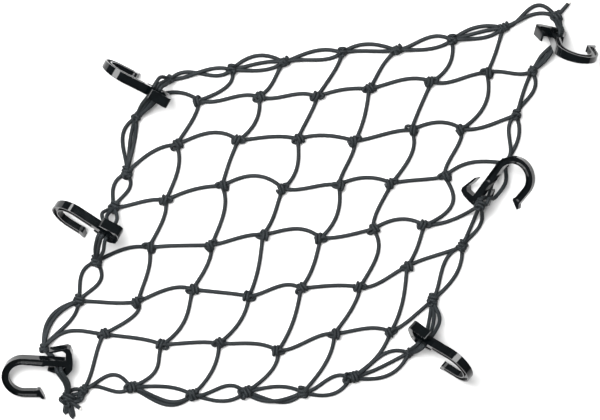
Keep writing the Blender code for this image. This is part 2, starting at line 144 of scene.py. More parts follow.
# Only corners that turn by more than this are rounded, over at most this share of a side
CORNER_ANGLE = 20
CORNER_SHARE = 0.42
CORNER_STEPS = 4
DIMPLE_RADIUS = 0.0010
DIMPLE_DEPTH = 0.0006
DIMPLE_INSET = 0.0032
DIMPLE_SIDES = 24
# Points closer than this are one, and faces within this angle are one flat face
WELD_DISTANCE = 1e-7
FLAT_ANGLE = 0.5

NET_KNOTS_PX = (
    ((199, 100.5), (259, 97), (317, 97), (369, 89), (431.5, 82), (486.5, 73)),
    ((176.5, 145), (238.5, 140.5), (298, 139), (355, 141), (411, 130), (461.6, 129)),
    ((166, 200.3), (222, 186), (283, 188.7), (338.6, 184.7), (391.5, 183.3), (444.2, 176.8)),
    ((149, 247.4), (211.6, 245), (262.6, 234.7), (320.5, 238), (372.8, 229), (424, 225.4)),
    ((138, 301.5), (192.5, 289), (249, 296), (300.8, 288.2), (360, 287), (406.7, 266.3)),
    ((103.8, 333.7), (162.5, 344.4), (219, 343.1), (278, 350.4), (334, 333.5), (390.7, 331.6)),
)

# Edge knots: name: x, y in picture pixels, length and width in mm, heading in degrees
EDGE_KNOTS = {
    "far_1": (170.5, 79.4, 10.5, 9.5, 60),
    "far_2": (231.5, 70, 11.5, 10.5, 70),
    "far_3": (284, 62.5, 13, 10, 30),
    "far_4": (342, 53, 11, 10.5, 80),
    "far_5": (396.5, 50.5, 13.5, 10, 30),
    "far_6": (451.8, 40.3, 11.5, 10.5, 80),
    "far_7": (503, 28, 13.5, 10, 25),
    "far_8": (556, 17.4, 13, 12, 30),
    "right_1": (531.9, 71.6, 12, 10.5, 60),
    "right_2": (515.8, 115.2, 11.5, 10, 70),
    "right_3": (504.5, 163, 10.5, 9, 70),
    "right_4": (478.2, 205.4, 13, 11.5, 60),
    "right_5": (461.6, 246.3, 13, 11, 60),
    "right_6": (432, 300.4, 14, 11.5, 70),
    "near_7": (408.7, 352.7, 11, 9.5, 45),
    "near_6": (350.5, 377.5, 18, 12.5, 15),
    "near_5": (302.7, 392.2, 13, 11.5, 80),
    "near_4": (245, 392.2, 15, 12.5, 20),
    "near_3": (192.4, 394.7, 14, 12.5, 15),
    "near_2": (130.6, 387, 14, 12, 10),
    "near_1": (83.7, 390, 12, 10.5, 40),
    "corner": (67.8, 398.8, 16, 15, 60),
    "left_6": (44.8, 347.8, 11, 10, 80),
    "left_5": (79, 300.9, 13, 12, 70),
    "left_4": (96.7, 261.5, 13, 12.5, 80),
    "left_3": (114.4, 207.7, 12.5, 12, 60),
    "left_2": (127.1, 173, 14, 12, 80),
    "left_1": (136.5, 117.5, 11.5, 9.5, 40),
    "left_0": (159, 95.5, 9, 8.5, 20),
}
# Heights of the knots that are held off the surface by a hook
RAISED_KNOTS = {"left_6": 0.0100, "right_4": 0.0245}

# How far each net cord bows off the straight line, at one and two thirds of its way, in
# picture pixels: to the far side for the cords along a row, to the right for a column
ROW_BOWS_PX = (
    ((4.8, 5), (-1.4, 2.2), (-0.5, 3), (3, 3), (3.6, 5.8), (-3, -0.3), (0.7, -1.9)),
    ((5.8, 6.2), (7.5, 9.5), (2, 3), (4.2, 3.8), (0.3, 1.5), (5.9, 6.8), (-3.6, -2.2)),
    ((0.8, 2.4), (3.3, 3.4), (9.6, 11), (-1.6, 0.5), (5.6, 5.8), (0.5, -0.2), (7.9, 6.2)),
    ((4, 4.8), (0.8, 0.5), (0.8, 2.1), (5.3, 7.9), (-2, -1.5), (6.8, 7.4), (-4.2, -4.2)),
    ((-0.7, -1.6), (4, 5.6), (0, 0.4), (2.4, 5.8), (1.5, 2.1), (-4.3, -2.3), (0.9, 0)),
    ((10.9, 7.4), (0.9, 1.8), (0.8, 1.5), (2.3, 4.1), (-1.3, 1.8), (2.4, 4.4), (-2.4, -1.5)),
)
COLUMN_BOWS_PX = (
    ((11, 11.9), (3.5, 2.2), (6, 4.5), (4, 2.8), (4, 2.4), (10.4, 8.5), (-0.4, 1.3)),
    ((1.3, 3.5), (6.8, 7.7), (-1.2, -1), (6.5, 4.7), (4.1, 3.4), (6.5, 9.1), (7.1, 12.8)),
    ((2.7, 1.7), (1.1, 0.2), (5.4, 7.4), (1.4, 2.9), (2.4, 2.9), (6, 6.6), (6.3, 6.7)),
    ((-3.1, -1.5), (2.2, 2.6), (1.9, 0.2), (6.9, 8), (2.7, 3.6), (3.6, 4.2), (8.3, 8.2)),
    ((7.2, 8.7), (-0.5, -0.5), (8.8, 7), (-1.8, -3), (9.9, 7.2), (3.7, 3.1), (6.7, 6.1)),
    ((1, 1.6), (10, 11.6), (2.2, -1), (15.1, 18.3), (1.7, 2.5), (3.4, 4.2), (6.4, 7.7)),
)
ROW_STARTS = ("left_0", "left_2", "left_3", "left_4", "left_5", "left_6")
ROW_ENDS = ("right_1", "right_2", "right_3", "right_4", "right_5", "right_6")
COLUMN_STARTS = ("far_2", "far_3", "far_4", "far_5", "far_6", "far_7")
COLUMN_ENDS = ("near_1", "near_2", "near_3", "near_4", "near_5", "near_6")

# Strands of the edge cord from knot to knot, clockwise: how far each bows outwards at
# one and two thirds of its way, in picture pixels
EDGE_SPANS = (
    ("far_1", "far_2", ((4.2, -2.4), (0.8, 4.1))),
    ("far_2", "far_3", ((9.2, 9.5), (1.8, 2.8), (-3.2, -4.5))),
    ("far_3", "far_4", ((4.7, 6.3), (-0.7, -3.5))),
    ("far_4", "far_5", ((7.2, 6.3), (1.1, 0))),
    ("far_5", "far_6", ((3.4, 7.2), (-3, -4.5))),
    ("far_6", "far_7", ((6, 6.2), (1.1, 1.3), (-3.1, -4.9))),
    ("far_7", "far_8", ((6, 15.5), (4.5, 7.4))),
    ("right_1", "right_2", ((8.1, 3.9), (-1.2, -0.6))),
    ("right_2", "right_3", ((7.1, 6), (-3.7, 2))),
    ("right_4", "right_5", ((8.9, 5.6), (1.1, 0.8))),
    ("right_5", "right_6", ((8, 6.5), (-7.4, -3.1))),
    ("near_7", "near_6", ((11.8, 10.1), (1.6, 2.4), (-8.8, -3.7))),
    ("near_6", "near_5", ((9.7, 8.3), (-6, -1.4))),
    ("near_5", "near_4", ((9.8, 5.8), (7.0, 8.2), (-5.7, -4.4))),
    ("near_4", "near_3", ((7.4, 5.6), (-7.5, -1.8))),
    ("near_3", "near_2", ((12.8, 8.3), (9.4, 4.8), (-4.8, -3.5))),
    ("near_2", "near_1", ((3.3, -2.3), (-13.5, -8.5))),
    ("near_1", "corner", ((-4.5, -5.5), (0.5, -1), (3.5, 4), (7, 6))),
    ("left_6", "left_5", ((12.1, 11.6), (8.6, 8.4), (-1.5, -4.7))),
    ("left_5", "left_4", ((5.5, 8.4), (-6.5, -11.1))),
    ("left_3", "left_2", ((6.3, 7.7), (-3.6, -7.5))),
    ("left_2", "left_1", ((6, 10.5), (1.2, 2.4), (-1.3, -2))),
    ("left_1", "left_0", ((-1, -2),)),
)

# Cut ends: knot, where the end lies in picture pixels, its height above the surface, and
# how far the core stands out of the sheath
CORD_TAILS = (
    ("far_8", 567.9, 3.8, 0.0030, 0.0026),
    ("corner", 80.6, 408.0, 0.0060, 0.0010),
)
TAIL_STEP = 0.0015
TAIL_SAG = 0.0006
TAIL_SAG_AT = 0.55
# Pale core of a cut end: it narrows to this share of its radius, and its rim is frayed
CORE_RADIUS = 0.0014
CORE_TIP_SHARE = 0.86
CORE_SUNK = 0.0012
CORE_SIDES = 20
FRAY = 0.00022
FRAY_TURN = 2.4
# Bights that hang out of the corner knot: the two sides' ends in picture pixels
CORNER_BIGHTS = (((64.6, 411.0), (67.0, 411.4)), ((71.4, 415.4), (73.6, 415.2)))
BIGHT_STEP = 0.0013
BIGHT_WIDTH = 0.002

# Hooks: middle of the bend in picture pixels, direction of the shank towards the tail,
# direction from the free arm to the shank, and height of the lowest point
HOOKS = {
    "hook_1": (125.0, 74.4, (0.846, -0.419, -0.330), (0.191, -0.339, 0.921), 0.0),
    "hook_2": (74.7, 217.1, (0.832, -0.546, -0.104), (0.306, 0.294, 0.906), 0.0),
    "hook_3": (24.8, 375.4, (0.998, -0.060, 0.000), (0.060, 0.910, 0.407), 0.0),
    "hook_4": (571.8, 54.1, (-0.065, 0.413, -0.908), (-0.973, 0.177, 0.150), 0.0),
    "hook_5": (511.2, 178.5, (-0.522, -0.751, -0.405), (-0.690, 0.650, -0.316), 0.0),
    "hook_6": (451.9, 362.5, (-0.733, 0.428, -0.529), (-0.230, 0.575, 0.785), 0.0),
}

# Edge cord through a hook's inner loop: hook, knot before, knot after, and for each strand
# how far along the hook it passes, how far off the middle of the loop towards the shank in
# mm, and how far it bows to its left before and after the loop, in picture pixels
HOOK_STRANDS = (
    (
        "hook_4",
        "far_8",
        "right_1",
        ((0.0368, 0.0, 1.8, -3.0), (0.0320, 1.2, -1.6, 2.6), (0.0342, -1.4, 0.0, 0.0)),
    ),
    (
        "hook_5",
        "right_3",
        "right_4",
        ((0.0340, 0.0, -3.0, 0.0), (0.0300, -5.6, 6.0, 3.0)),
    ),
    (
        "hook_6",
        "right_6",
        "near_7",
        ((0.0366, 0.8, 0.5, -1.0), (0.0302, 0.6, 8.0, 1.2), (0.0335, -1.4, 3.2, 0.0)),
    ),
    (
        "hook_3",
        "corner",
        "left_6",
        ((0.0358, 0.4, -4.6, 2.0), (0.0318, -0.4, -3.2, -1.5)),
    ),
    (
        "hook_2",
        "left_4",
        "left_3",
        ((0.0368, 0.0, -2.5, -4.0), (0.0322, 1.2, 0.5, 4.5), (0.0292, -1.2, 2.0, 8.0)),
    ),
    (
        "hook_1",
        "left_1",
        "far_1",
        ((0.0358, 0.8, -1.5, -1.0), (0.0325, -1.2, 0.0, 0.5), (0.0290, 0.8, 1.5, 5.0)),
    ),
)
# A strand runs straight through a loop this far either side of the hook's middle plane,
# in steps of about this length, half this ease nearer the shank than the hole's middle,
# and leaves its knots this far below their middle
LOOP_LEAD = 0.0068
LOOP_STEP = 0.0030
LOOP_EASE = 0.0016
HOOK_STRAND_DROP = 0.001

# Light: name, azimuth and elevation in degrees, distance, width, height, power in watts
SOFT_BOXES = (
    ("top_box", 140, 80, 3.0, 1.50, 1.50, 195),
    ("key_box", 140, 58, 2.0, 1.00, 1.00, 100),
    ("left_glint", 180, 51, 1.6, 0.53, 0.67, 15),
    ("near_glint", 242, 43, 1.6, 0.20, 0.14, 0.8),
    ("right_glint", 58.5, 54.1, 1.6, 0.85, 0.28, 10),
    ("far_glint", 108.2, 35, 1.6, 0.37, 0.25, 4.1),
)
WORLD_LIGHT = 0.16
FLOOR_COLOUR = (0.36, 0.36, 0.36, 1.0)
FLOOR_HALF = 4.0
CAMERA_DISTANCE = 2.7
CAMERA_REACH = 20.0
SENSOR_WIDTH = 36.0

# Colours, each with its place on its ramp
# The yarns' ramp paints shade: darkest in the braid's gaps, palest on the yarns' crowns
YARN_AND_PAINTED_SHADE_COLOURS = (
    (0.38, (0.0014, 0.0020, 0.0025, 1)),
    (0.84, (0.0116, 0.0137, 0.0150, 1)),
    (1.0, (0.0340, 0.0380, 0.0405, 1)),
)
PLASTIC_COLOURS = (
    (0.3, (0.0005, 0.0008, 0.0010, 1)),
    (0.75, (0.0014, 0.0020, 0.0024, 1)),
)
# The core's ramp paints shade in the gaps between its threads
CORE_AND_PAINTED_SHADE_COLOURS = ((0.15, (0.62, 0.60, 0.55, 1)), (0.75, (0.20, 0.19, 0.18, 1)))


# ---------------------------------------------------------------- shapes


def place(x_px, y_px, z=0.0):
    """A spot of the picture on the surface, as a point of the part."""
    return Vector(((x_px - ORIGIN_X_PX) * PIXEL, (ORIGIN_Y_PX - y_px) * PIXEL, z))


def add_object(name, data):
    """A new object with the given data, in the scene."""
    obj = bpy.data.objects.new(name, data)
    bpy.context.scene.collection.objects.link(obj)
    return obj


def bow(t, first, second):
    """A smooth bow that is 0 at both ends, first at one third and second at two thirds."""
    return 4.5 * t * (1 - t) * (first * (2 - 3 * t) + second * (3 * t - 1))


def level(t, length, start_z, end_z):
    """Height along a slack cord that rests on the surface between its two ends."""
    reach = min(DROP_SHARE, DROP_LENGTH / length)
    rise_start = max(0.0, 1 - t / reach) ** 2
    rise_end = max(0.0, 1 - (1 - t) / reach) ** 2
    return CORD_LOW + (start_z - CORD_LOW) * rise_start + (end_z - CORD_LOW) * rise_end


def bowed_path(start, end, side, bows, heights):
    """Points along a cord between two knots, from inside one to inside the other."""
    flat = Vector((end.x - start.x, end.y - start.y, 0))
    inset = min(CORD_INSET_SHARE, CORD_INSET / flat.length)
    points = []
    for i in range(CORD_POINTS + 1):
        t = inset + (1 - 2 * inset) * i / CORD_POINTS
        point = start + flat * t + side * bow(t, *bows) * PIXEL
        point.z = level(t, flat.length, *heights)
        points.append(point)
    return points


def smooth_path(corners, step):
    """Points on a smooth curve through the given corners, never below the surface."""
    ends = [2 * corners[0] - corners[1], *corners, 2 * corners[-1] - corners[-2]]
    points = [corners[0].copy()]
    for before, a, b, after in zip(ends, ends[1:], ends[2:], ends[3:]):
        spans = max(1, round((b - a).length / step))
        for i in range(1, spans + 1):
            t = i / spans
            point = 0.5 * (
                2 * a
                + (b - before) * t
                + (2 * before - 5 * a + 4 * b - after) * t**2
                + (3 * a - before - 3 * b + after) * t**3
            )
            point.z = max(point.z, CORD_LOW)
            points.append(point)
    return points


def lift_apart(strands):
    """Raises each strand where it crosses the ones before it, so that it lies on them."""
    clear = 2 * CORD_RADIUS * CROSSING_SHARE
    for k, strand in enumerate(strands):
        for other in strands[:k]:
            last = len(strand) - 1
            raised = []
            for i, point in enumerate(strand):
                flat = min((point.xy - q.xy).length for q in other)
                edge = min(1.0, LIFT_RATE * min(i, last - i) / last)
                under = min(other, key=lambda q: (point.xy - q.xy).length).z
                need = under + math.sqrt(max(0.0, clear**2 - flat**2))
                raised.append(max(0.0, need - point.z) * edge if flat < clear else 0.0)
            for i, point in enumerate(strand):
                near = raised[max(0, i - 2) : i + 3]
                point.z += max(raised[i], sum(near) / len(near))


class Builder:
    """Gathers swept cords into one mesh, with the braid's coordinates."""

    def __init__(self):
        self.points = []
        self.faces = []
        self.coordinates = []
        self.length = 0.0

    def sweep(self, path, radius=CORD_RADIUS):
        """A round tube along the path, closed at both ends."""
        first = len(self.points)
        along = 0.0
        normal = None
        lengths = []
        for i, point in enumerate(path):
            before = path[max(0, i - 1)]
            after = path[min(len(path) - 1, i + 1)]
            tangent = (after - before).normalized()
            if normal is None:
                up = Vector((0, 0, 1)) if abs(tangent.z) < 0.9 else Vector((1, 0, 0))
                normal = tangent.cross(up).normalized()
            normal = (normal - tangent * normal.dot(tangent)).normalized()
            side = tangent.cross(normal)
            along += (point - path[i - 1]).length if i else 0.0
            lengths.append(self.length + along)
            for k in range(CORD_SIDES):
                angle = 2 * math.pi * k / CORD_SIDES
                offset = normal * math.cos(angle) + side * math.sin(angle)
                self.points.append(point + offset * radius)
        for i, (u0, u1) in enumerate(zip(lengths, lengths[1:])):
            for k in range(CORD_SIDES):
                a = first + i * CORD_SIDES + k
                b = first + i * CORD_SIDES + (k + 1) % CORD_SIDES
                self.faces.append((a, b, b + CORD_SIDES, a + CORD_SIDES))
                v0 = k / CORD_SIDES
                v1 = (k + 1) / CORD_SIDES
                self.coordinates += [(u0, v0), (u0, v1), (u1, v1), (u1, v0)]
        for ring, turned in ((0, True), (len(path) - 1, False)):
            corners = [first + ring * CORD_SIDES + k for k in range(CORD_SIDES)]
            if turned:
                corners.reverse()
            self.faces.append(tuple(corners))
            self.coordinates += [(lengths[ring], 0.5)] * CORD_SIDES
        self.length += along

    def piece(self, name, made_of):
        """One object of all the swept cords."""
        mesh = bpy.data.meshes.new(name)
        mesh.from_pydata([tuple(p) for p in self.points], [], self.faces)
        layer = mesh.uv_layers.new(name="braid")
        for loop, (u, v) in zip(layer.data, self.coordinates):
            loop.uv = (u / BRAID_PITCH, v * BRAID_CARRIERS)
        mesh.shade_smooth()
        mesh.set_sharp_from_angle(angle=math.radians(CORD_SHARP_ANGLE))
        mesh.materials.append(made_of)
        return add_object(name, mesh)


def knot_axes(centre, heading):
    """A knot's centre and its directions along, across and up."""
    angle = math.radians(heading)
    along = Vector((math.cos(angle), math.sin(angle), 0))
    across = Vector((-math.sin(angle), math.cos(angle), 0))
    return centre, along, across, Vector((0, 0, 1))


def coil(axes, start, turns, pitch, wide, high, phase=0.0, lean=0.0):
    """Turns of cord round a knot's axis, tucked in at both ends."""
    centre, along, across, up = axes
    count = max(8, round(turns * TURN_POINTS))
    points = []
    for i in range(count + 1):
        t = i / count
        angle = phase + 2 * math.pi * turns * t
        tuck = min(1.0, TUCK_START + TUCK_RATE * min(t, 1 - t) * turns)
        rise = math.sin(angle)
        point = centre + along * (start + pitch * turns * t + lean * rise)
        point = point + across * (wide * tuck * math.cos(angle))
        point = point + up * (high * tuck * rise)
        points.append(point)
    return points


def trefoil(axes, length, across_size, high, turned, phase):
    """An overhand knot drawn tight: three lobes that pass over and under each other."""
    centre, along, across, up = axes
    # The curve itself reaches 3 from its middle
    reach = (length / 2 - KNOT_CORD_RADIUS) / 3
    wide = (across_size / 2 - KNOT_CORD_RADIUS) / 3
    points = []
    for i in range(TREFOIL_POINTS + 1):
        angle = math.pi / 6 + 2 * math.pi * i / TREFOIL_POINTS
        x = math.sin(angle) + 2 * math.sin(2 * angle)
        y = math.cos(angle) - 2 * math.cos(2 * angle)
        z = -math.sin(3 * angle)
        spun_x = x * math.cos(phase) - y * math.sin(phase)
        spun_y = x * math.sin(phase) + y * math.cos(phase)
        point = centre + along * (spun_x * reach) + across * (turned * spun_y * wide)
        points.append(point + up * (z * high))
    return points


def wind_net_knot(builder, centre, heading, turned, swing):
    """A mesh knot: turns round the row cord on one side, a lobe on the other."""
    centre, along, across, up = knot_axes(centre, heading)
    along = along * turned
    high = NET_KNOT_HEIGHT / 2 - KNOT_CORD_RADIUS
    wide = NET_BAND_ACROSS / 2 - KNOT_CORD_RADIUS
    start = NET_BAND_SHIFT - NET_BAND_PITCH * NET_BAND_TURNS / 2
    band = coil(
        (centre, along, across, up),
        start,
        NET_BAND_TURNS,
        NET_BAND_PITCH,
        wide,
        high,
        phase=NET_BAND_PHASE,
        lean=NET_BAND_LEAN * swing,
    )
    builder.sweep(band, KNOT_CORD_RADIUS)
    reach = NET_LOBE_LONG / 2 - KNOT_CORD_RADIUS
    side = NET_LOBE_WIDE / 2 - KNOT_CORD_RADIUS
    middle = centre - along * NET_LOBE_SHIFT - across * (NET_LOBE_SWING * swing)
    lobe = []
    for i in range(TURN_POINTS + NET_LOBE_OVERLAP):
        angle = NET_LOBE_PHASE + 2 * math.pi * i / TURN_POINTS
        rise = NET_LOBE_RISE * high * math.sin(angle + NET_LOBE_TILT * swing)
        point = middle + along * (reach * math.cos(angle)) + across * (side * math.sin(angle))
        lobe.append(point + up * rise)
    builder.sweep(lobe, KNOT_CORD_RADIUS)


def wind_edge_knot(builder, centre, heading, size, turned, phase):
    """An edge knot: a tight knot with a band of turns round one end."""
    length, across_size, height = size
    centre, along, across, up = axes = knot_axes(centre, heading)
    high = height / 2 - KNOT_CORD_RADIUS
    wide = across_size / 2 - KNOT_CORD_RADIUS
    turns = LONG_KNOT_TURNS if length > LONG_KNOT else SHORT_KNOT_TURNS
    band = EDGE_BAND_PITCH * turns + 2 * KNOT_CORD_RADIUS
    start = length / 2 - band + KNOT_CORD_RADIUS
    path = coil(
        axes,
        start,
        turns,
        EDGE_BAND_PITCH,
        wide * EDGE_BAND_WIDTH_SHARE,
        high,
        phase=EDGE_BAND_PHASE,
        lean=turned * EDGE_BAND_LEAN,
    )
    builder.sweep(path, KNOT_CORD_RADIUS)
    rest = max(length - BAND_LEFT_FREE * band, LOBES_LENGTH)
    shifted = (centre - along * (length - rest) / 2, along, across, up)
    lobes_across = across_size * LOBES_WIDTH_SHARE
    path = trefoil(shifted, rest, lobes_across, high * LOBES_HEIGHT_SHARE, turned, phase)
    builder.sweep(path, KNOT_CORD_RADIUS)


def net_knot_spot(row, column):
    """Centre of a knot of the mesh."""
    return place(*NET_KNOTS_PX[row][column], NET_KNOT_HEIGHT / 2)


def net_knot_heading(row, column):
    """Heading of a knot of the mesh in degrees, uneven from knot to knot."""
    return NET_KNOT_HEADING + NET_KNOT_SWAY * math.sin(1.7 * row + 2.3 * column + 0.5)


def edge_knot_rows():
    """Each edge knot's centre, heading and size."""
    rows = {}
    for name, (x_px, y_px, length, across, heading) in EDGE_KNOTS.items():
        z = RAISED_KNOTS.get(name, EDGE_KNOT_HEIGHT / 2)
        size = (length / 1000, across / 1000, EDGE_KNOT_HEIGHT)
        rows[name] = (place(x_px, y_px, z), heading, size)
    return rows


def net_paths():
    """The cords along the rows and along the columns."""
    edge = edge_knot_rows()

    def height(name):
        if name is None:
            return NET_KNOT_LEVEL
        return RAISED_KNOTS.get(name, NET_EDGE_LEVEL)

    def line(names, spots, side, bows):
        for i, pair in enumerate(bows):
            ends = (height(names[i]), height(names[i + 1]))
            paths.append(bowed_path(spots[i], spots[i + 1], side, pair, ends))

    paths = []
    inner = range(len(NET_KNOTS_PX))
    for i, bows in enumerate(ROW_BOWS_PX):
        names = [ROW_STARTS[i], *[None for _ in inner], ROW_ENDS[i]]
        knots = [net_knot_spot(i, j) for j in inner]
        spots = [edge[names[0]][0], *knots, edge[names[-1]][0]]
        line(names, spots, Vector((0, 1, 0)), bows)
    for j, bows in enumerate(COLUMN_BOWS_PX):
        names = [COLUMN_STARTS[j], *[None for _ in inner], COLUMN_ENDS[j]]
        knots = [net_knot_spot(i, j) for i in inner]
        spots = [edge[names[0]][0], *knots, edge[names[-1]][0]]
        line(names, spots, Vector((1, 0, 0)), bows)
    return paths


def bowed_middle(start, end, bow_px):
    """A point halfway between two others, off the straight line to its left."""
    flat = Vector((end.x - start.x, end.y - start.y, 0)).normalized()
    left = Vector((-flat.y, flat.x, 0))
    return (start + end) / 2 + left * (bow_px * PIXEL)


def hook_strand(hook_place, start, end, row):
    """A strand from one knot through a hook's inner loop to the next knot."""
    along, shift_mm, bow_before, bow_after = row
    middle = (HOOK_OUTER + HOOK_INNER) / 2
    half = (HOOK_OUTER - HOOK_INNER) / 2
    p = middle - ((half + LOOPS[-1][0] - LOOP_EASE) / 2 - shift_mm / 1000)
    through = [hook_place @ Vector((along, p, w)) for w in (-LOOP_LEAD, 0.0, LOOP_LEAD)]
    if (through[0] - start).length > (through[2] - start).length:
        through.reverse()
    starts = Vector((start.x, start.y, max(CORD_LOW, start.z - HOOK_STRAND_DROP)))
    ends = Vector((end.x, end.y, max(CORD_LOW, end.z - HOOK_STRAND_DROP)))
    before = bowed_middle(starts, through[0], bow_before)
    after = bowed_middle(through[2], ends, bow_after)
    return smooth_path([starts, before, *through, after, ends], LOOP_STEP)


def edge_strands(frames):
    """The strands of the edge cord, span by span, and those through the hooks."""
    edge = edge_knot_rows()
    strands = []
    for first, second, bows in EDGE_SPANS:
        start = edge[first][0]
        end = edge[second][0]
        along = Vector((end.x - start.x, end.y - start.y, 0)).normalized()
        outward = Vector((-along.y, along.x, 0))
        ends = [RAISED_KNOTS.get(name, EDGE_STRAND_LEVEL) for name in (first, second)]
        span = [bowed_path(start, end, outward, pair, ends) for pair in bows]
        lift_apart(span)
        strands += span
    for hook, first, second, passes in HOOK_STRANDS:
        for row in passes:
            strands.append(hook_strand(frames[hook], edge[first][0], edge[second][0], row))
    return strands


def hook_frame(row):
    """The matrix that takes a hook's own s, p and width to its place on the net."""
    x_px, y_px, shank, across, low = row
    along = Vector(shank).normalized()
    width = along.cross(Vector(across)).normalized()
    turn = Matrix((along, width.cross(along), width)).transposed().to_4x4()
    lowest = min(
        (turn @ Vector((s, p, side * widened(p) * HOOK_WIDTH / 2))).z
        for s, p in hook_outline(HOOK_PLACING_STEPS)
        for side in (-1, 1)
    )
    return Matrix.Translation(place(x_px, y_px, low - lowest)) @ turn


def widened(p):
    """How much wider the moulding is at p than at the middle of the bend."""
    return 1 + HOOK_WIDENING * p


def arc(centre, radius, first, last, steps):
    """Points on an arc, with its angles in degrees."""
    s, p = centre
    angles = [math.radians(first + (last - first) * i / steps) for i in range(steps + 1)]
    return [(s + radius * math.cos(a), p + radius * math.sin(a)) for a in angles]


def loop_arm(side):
    """One open loop of the tail, from the shank round its free tip and back to the shank.

    The small offsets taper the loop and blunt its corners.
    """
    middle = (HOOK_OUTER + HOOK_INNER) / 2
    half = (HOOK_OUTER - HOOK_INNER) / 2
    reach, tip_reach, corner_s, tip_s = LOOPS[side]
    outside = [
        (TAIL_END_S, half + 0.0010),
        (TAIL_END_S - 0.0008, reach - 0.0034),
        (corner_s + 0.0032, reach + 0.0014),
        (corner_s, reach + EYE_WALL),
        (tip_s, tip_reach + EYE_WALL / 2),
    ]
    inside = [
        (tip_s - 0.0006, tip_reach - 0.0004),
        (tip_s + 0.0050, tip_reach + 0.0004),
        (corner_s - 0.0040, reach - 0.0006),
        (EYE_END_S, reach - 0.0030),
        (EYE_END_S, half + 0.0008),
        (EYE_END_S - 0.0012, half),
    ]
    return [(s, middle + side * extent) for s, extent in outside + inside]


def hook_outline(steps):
    """The hook's outline in its own plane, from the free arm's lip round to it again.

    The small offsets curl the lip and blunt the point.
    """
    lip = [
        (ARM_END_S, -HOOK_OUTER + ARM_LEAN),
        (LIP_OUTER_S - LIP_THICKNESS, LIP_OUTER_P - 0.0004),
        (LIP_OUTER_S, LIP_OUTER_P),
        (LIP_INNER_S, -HOOK_INNER + ARM_LEAN + 0.0008),
        (LIP_INNER_S - LIP_THICKNESS, -HOOK_INNER + ARM_LEAN + 0.0010),
        (ARM_END_S - 0.0025, -HOOK_INNER + ARM_LEAN),
    ]
    inner = arc((0, 0), HOOK_INNER, 270, 90, steps)
    point = [(POINT_S, HOOK_INNER - 0.0006), (POINT_S + 0.0016, HOOK_INNER + 0.0004)]
    outer = arc((0, 0), HOOK_OUTER, 90, 270, steps + 1)
    inner_loop = list(reversed(loop_arm(-1)))
    return lip + inner + point + inner_loop + loop_arm(1) + outer


def channel_outline():
    """The recess between the rims, from the lip round the bend to the shank."""
    inner = arc((0, 0), HOOK_INNER + RIM, 270, 90, HOOK_BEND_STEPS)
    outer = arc((0, 0), HOOK_OUTER - RIM, 90, 270, HOOK_BEND_STEPS)
    arm = [
        (ARM_END_S - RIM, -HOOK_OUTER + RIM + ARM_LEAN),
        (ARM_END_S - RIM, -HOOK_INNER - RIM + ARM_LEAN),
    ]
    shank = [(CHANNEL_END_S, HOOK_INNER + RIM), (CHANNEL_END_S, HOOK_OUTER - RIM)]
    return arm + inner + shank + outer


def rounded(outline, radius):
    """The outline with its sharper corners turned into short curves."""
    points = []
    count = len(outline)
    for i in range(count):
        before = Vector(outline[i - 1])
        here = Vector(outline[i])
        after = Vector(outline[(i + 1) % count])
        turn = (here - before).angle(after - here)
        if turn < math.radians(CORNER_ANGLE):
            points.append(tuple(here))
            continue
        reach = radius * math.tan(turn / 2)
        for side in (here - before, after - here):
            reach = min(reach, CORNER_SHARE * side.length)
        start = here + (before - here).normalized() * reach
        end = here + (after - here).normalized() * reach
        for k in range(CORNER_STEPS + 1):
            t = k / CORNER_STEPS
            points.append(tuple((1 - t) ** 2 * start + 2 * t * (1 - t) * here + t**2 * end))
    return points


def slab(name, outline, half_thickness, z=0.0):
    """A flat plate with the given outline."""
    curve = bpy.data.curves.new(name, "CURVE")
    curve.dimensions = "2D"
    curve.fill_mode = "BOTH"
    curve.extrude = half_thickness
    spline = curve.splines.new("POLY")
    spline.points.add(len(outline) - 1)
    for point, (s, p) in zip(spline.points, outline):
        point.co = (s, p, 0.0, 1.0)
    spline.use_cyclic_u = True
    obj = add_object(name, curve)
    obj.matrix_world = Matrix.Translation((0, 0, z))
    return frozen(obj, name, weld=True)


def frozen(obj, name, weld=False):
    """A plain mesh object of what the given object evaluates to; the given one goes."""
    bpy.context.view_layer.update()
    graph = bpy.context.evaluated_depsgraph_get()
    mesh = bpy.data.meshes.new_from_object(obj.evaluated_get(graph))
    matrix = obj.matrix_world.copy()
    bpy.data.objects.remove(obj, do_unlink=True)
    made = add_object(name, mesh)
    made.matrix_world = matrix
    if weld:
        work = bmesh.new()
        work.from_mesh(mesh)
        bmesh.ops.remove_doubles(work, verts=work.verts, dist=WELD_DISTANCE)
        flat = math.radians(FLAT_ANGLE)
        bmesh.ops.dissolve_limit(work, angle_limit=flat, verts=work.verts, edges=work.edges)
        work.to_mesh(mesh)
        work.free()
    return made


